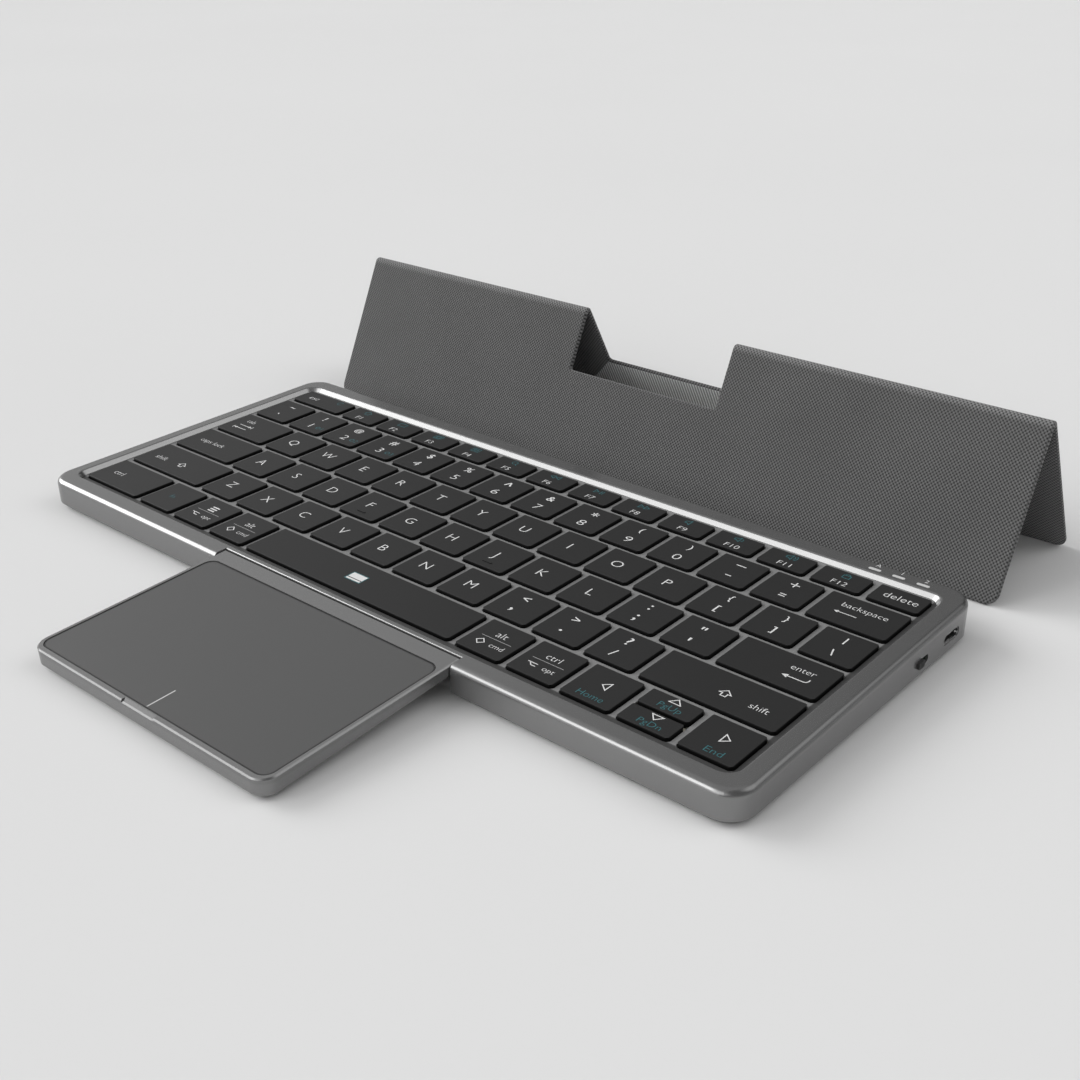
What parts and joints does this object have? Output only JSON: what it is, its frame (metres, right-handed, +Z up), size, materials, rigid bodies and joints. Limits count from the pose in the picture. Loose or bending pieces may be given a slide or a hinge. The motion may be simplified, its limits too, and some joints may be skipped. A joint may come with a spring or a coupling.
{
  "type": "folding keyboard",
  "caption": "Slim wireless keyboard with a touchpad that folds out of its front edge, a side power switch, and a separate fabric cover folded into a tent as a stand.",
  "frame": {"origin": "on the desk, under the middle of the rear rubber foot, on the centre line of the keyboard's body", "axes": "+X to the typist's right, +Y away from the typist, +Z up from the desk"},
  "size_m": [0.29, 0.259, 0.0524],
  "materials": {
    "body_metal": "satin anodised, gunmetal grey",
    "rim_metal": "satin anodised, a lighter grey",
    "cover_metal": "satin anodised, dark grey",
    "web_plastic": "matt grey",
    "key_plastic": "fine matt charcoal",
    "knob_plastic": "matt near black",
    "touch_surface": "smooth matt, mid grey",
    "film": "printed film",
    "dome_rubber": "soft silicone",
    "foot_rubber": "matt black",
    "steel": "bright steel",
    "screw_steel": "blackened steel",
    "circuit_board": "green solder mask",
    "battery_wrap": "silver foil",
    "switch_green": "bright green",
    "lamp_lens": "milky",
    "outer_cloth": "woven cloth, grey",
    "fold_cloth": "woven cloth, stretched smooth over the fold",
    "lining_cloth": "fine ribbed lining, dark grey",
    "fibre_board": "pressed fibre board",
    "magnet": "nickel plated"
  },
  "bodies": {
    "keyboard": {"top_frame": "body_metal", "bottom_cover": "cover_metal", "key_web": "web_plastic", "membrane": "film", "base_plate": "steel", "rubber_domes": "dome_rubber", "touchpad_bay": "cover_metal", "touchpad_pin": "steel", "main_board": "circuit_board", "battery_pack": "battery_wrap", "usb_c_port": "steel", "switch_housing": "switch_green", "indicator_lenses": "lamp_lens", "rear_foot": "foot_rubber", "front_feet": "foot_rubber", "case_screws": "screw_steel"},
    "switch_knob": {"power_switch": "knob_plastic"},
    "touchpad": {"touchpad_tray": "body_metal", "touchpad_frame": "rim_metal", "click_switch": "steel", "touchpad_foot": "foot_rubber", "touchpad_screws": "screw_steel"},
    "touch_plate": {"touchpad_surface": "touch_surface", "touchpad_board": "circuit_board"},
    "stand_front": {"front_cloth": "outer_cloth", "front_board": "fibre_board", "front_lining": "lining_cloth", "fold_bead": "fold_cloth", "stand_magnets": "magnet"},
    "stand_back": {"back_cloth": "outer_cloth", "back_board": "fibre_board", "back_lining": "lining_cloth"},
    "key_esc": {"key_esc": "key_plastic"},
    "key_delete": {"key_delete": "key_plastic"},
    "key_backspace": {"key_backspace": "key_plastic"},
    "key_tab": {"key_tab": "key_plastic"},
    "key_backslash": {"key_backslash": "key_plastic"},
    "key_caps": {"key_caps": "key_plastic"},
    "key_enter": {"key_enter": "key_plastic"},
    "key_shift_left": {"key_shift_left": "key_plastic"},
    "key_shift_right": {"key_shift_right": "key_plastic"},
    "key_ctrl_left": {"key_ctrl_left": "key_plastic"},
    "key_fn": {"key_fn": "key_plastic"},
    "key_opt_left": {"key_opt_left": "key_plastic"},
    "key_cmd_left": {"key_cmd_left": "key_plastic"},
    "key_space": {"key_space": "key_plastic"},
    "key_cmd_right": {"key_cmd_right": "key_plastic"},
    "key_opt_right": {"key_opt_right": "key_plastic"},
    "key_arrow_left": {"key_arrow_left": "key_plastic"},
    "key_arrow_up": {"key_arrow_up": "key_plastic"},
    "key_arrow_down": {"key_arrow_down": "key_plastic"},
    "key_arrow_right": {"key_arrow_right": "key_plastic"},
    "keys_function": {"keys_function": "key_plastic"},
    "keys_number": {"keys_number": "key_plastic"},
    "keys_q_row": {"keys_q_row": "key_plastic"},
    "keys_a_row": {"keys_a_row": "key_plastic"},
    "keys_z_row": {"keys_z_row": "key_plastic"}
  },
  "joints": [
    {"name": "touchpad_fold", "type": "hinge", "parent": "keyboard", "child": "touchpad", "pos_m": [0.00055, -0.11046, 0.00585], "axis": [1, 0, 0], "range_deg": [0, 176]},
    {"name": "touchpad_click", "type": "slide", "parent": "touchpad", "child": "touch_plate", "axis": [0, 0.0544, -0.9985], "range_m": [0, 0.00025], "stiffness_N_per_m": 2000, "springref_m": -0.00025},
    {"name": "power_switch_slide", "type": "slide", "parent": "keyboard", "child": "switch_knob", "axis": [0, 1, 0], "range_m": [0, 0.0024]},
    {"name": "stand_distance", "type": "slide", "parent": "keyboard", "child": "stand_front", "axis": [0, 1, 0], "range_m": [-0.012, 0.15]},
    {"name": "stand_fold", "type": "hinge", "parent": "stand_front", "child": "stand_back", "pos_m": [-0.0047, 0.052, 0.0505], "axis": [1, 0, 0], "range_deg": [-54, 125.6]},
    {"name": "esc_press", "type": "slide", "parent": "keyboard", "child": "key_esc", "axis": [0, 0.022, -0.9998], "range_m": [0, 0.001], "stiffness_N_per_m": 300, "springref_m": -0.0006},
    {"name": "delete_press", "type": "slide", "parent": "keyboard", "child": "key_delete", "axis": [0, 0.022, -0.9998], "range_m": [0, 0.001], "stiffness_N_per_m": 300, "springref_m": -0.0006},
    {"name": "backspace_press", "type": "slide", "parent": "keyboard", "child": "key_backspace", "axis": [0, 0.022, -0.9998], "range_m": [0, 0.001], "stiffness_N_per_m": 300, "springref_m": -0.0006},
    {"name": "tab_press", "type": "slide", "parent": "keyboard", "child": "key_tab", "axis": [0, 0.022, -0.9998], "range_m": [0, 0.001], "stiffness_N_per_m": 300, "springref_m": -0.0006},
    {"name": "backslash_press", "type": "slide", "parent": "keyboard", "child": "key_backslash", "axis": [0, 0.022, -0.9998], "range_m": [0, 0.001], "stiffness_N_per_m": 300, "springref_m": -0.0006},
    {"name": "caps_press", "type": "slide", "parent": "keyboard", "child": "key_caps", "axis": [0, 0.022, -0.9998], "range_m": [0, 0.001], "stiffness_N_per_m": 300, "springref_m": -0.0006},
    {"name": "enter_press", "type": "slide", "parent": "keyboard", "child": "key_enter", "axis": [0, 0.022, -0.9998], "range_m": [0, 0.001], "stiffness_N_per_m": 300, "springref_m": -0.0006},
    {"name": "shift_left_press", "type": "slide", "parent": "keyboard", "child": "key_shift_left", "axis": [0, 0.022, -0.9998], "range_m": [0, 0.001], "stiffness_N_per_m": 300, "springref_m": -0.0006},
    {"name": "shift_right_press", "type": "slide", "parent": "keyboard", "child": "key_shift_right", "axis": [0, 0.022, -0.9998], "range_m": [0, 0.001], "stiffness_N_per_m": 300, "springref_m": -0.0006},
    {"name": "ctrl_left_press", "type": "slide", "parent": "keyboard", "child": "key_ctrl_left", "axis": [0, 0.022, -0.9998], "range_m": [0, 0.001], "stiffness_N_per_m": 300, "springref_m": -0.0006},
    {"name": "fn_press", "type": "slide", "parent": "keyboard", "child": "key_fn", "axis": [0, 0.022, -0.9998], "range_m": [0, 0.001], "stiffness_N_per_m": 300, "springref_m": -0.0006},
    {"name": "opt_left_press", "type": "slide", "parent": "keyboard", "child": "key_opt_left", "axis": [0, 0.022, -0.9998], "range_m": [0, 0.001], "stiffness_N_per_m": 300, "springref_m": -0.0006},
    {"name": "cmd_left_press", "type": "slide", "parent": "keyboard", "child": "key_cmd_left", "axis": [0, 0.022, -0.9998], "range_m": [0, 0.001], "stiffness_N_per_m": 300, "springref_m": -0.0006},
    {"name": "space_press", "type": "slide", "parent": "keyboard", "child": "key_space", "axis": [0, 0.022, -0.9998], "range_m": [0, 0.001], "stiffness_N_per_m": 300, "springref_m": -0.0006, "deforming": ["rubber_domes"]},
    {"name": "cmd_right_press", "type": "slide", "parent": "keyboard", "child": "key_cmd_right", "axis": [0, 0.022, -0.9998], "range_m": [0, 0.001], "stiffness_N_per_m": 300, "springref_m": -0.0006},
    {"name": "opt_right_press", "type": "slide", "parent": "keyboard", "child": "key_opt_right", "axis": [0, 0.022, -0.9998], "range_m": [0, 0.001], "stiffness_N_per_m": 300, "springref_m": -0.0006},
    {"name": "arrow_left_press", "type": "slide", "parent": "keyboard", "child": "key_arrow_left", "axis": [0, 0.022, -0.9998], "range_m": [0, 0.001], "stiffness_N_per_m": 300, "springref_m": -0.0006},
    {"name": "arrow_up_press", "type": "slide", "parent": "keyboard", "child": "key_arrow_up", "axis": [0, 0.022, -0.9998], "range_m": [0, 0.001], "stiffness_N_per_m": 300, "springref_m": -0.0006},
    {"name": "arrow_down_press", "type": "slide", "parent": "keyboard", "child": "key_arrow_down", "axis": [0, 0.022, -0.9998], "range_m": [0, 0.001], "stiffness_N_per_m": 300, "springref_m": -0.0006},
    {"name": "arrow_right_press", "type": "slide", "parent": "keyboard", "child": "key_arrow_right", "axis": [0, 0.022, -0.9998], "range_m": [0, 0.001], "stiffness_N_per_m": 300, "springref_m": -0.0006},
    {"name": "function_keys_press", "type": "slide", "parent": "keyboard", "child": "keys_function", "axis": [0, 0.022, -0.9998], "range_m": [0, 0.001], "stiffness_N_per_m": 300, "springref_m": -0.0006},
    {"name": "number_keys_press", "type": "slide", "parent": "keyboard", "child": "keys_number", "axis": [0, 0.022, -0.9998], "range_m": [0, 0.001], "stiffness_N_per_m": 300, "springref_m": -0.0006},
    {"name": "q_row_press", "type": "slide", "parent": "keyboard", "child": "keys_q_row", "axis": [0, 0.022, -0.9998], "range_m": [0, 0.001], "stiffness_N_per_m": 300, "springref_m": -0.0006},
    {"name": "a_row_press", "type": "slide", "parent": "keyboard", "child": "keys_a_row", "axis": [0, 0.022, -0.9998], "range_m": [0, 0.001], "stiffness_N_per_m": 300, "springref_m": -0.0006},
    {"name": "z_row_press", "type": "slide", "parent": "keyboard", "child": "keys_z_row", "axis": [0, 0.022, -0.9998], "range_m": [0, 0.001], "stiffness_N_per_m": 300, "springref_m": -0.0006}
  ]
}
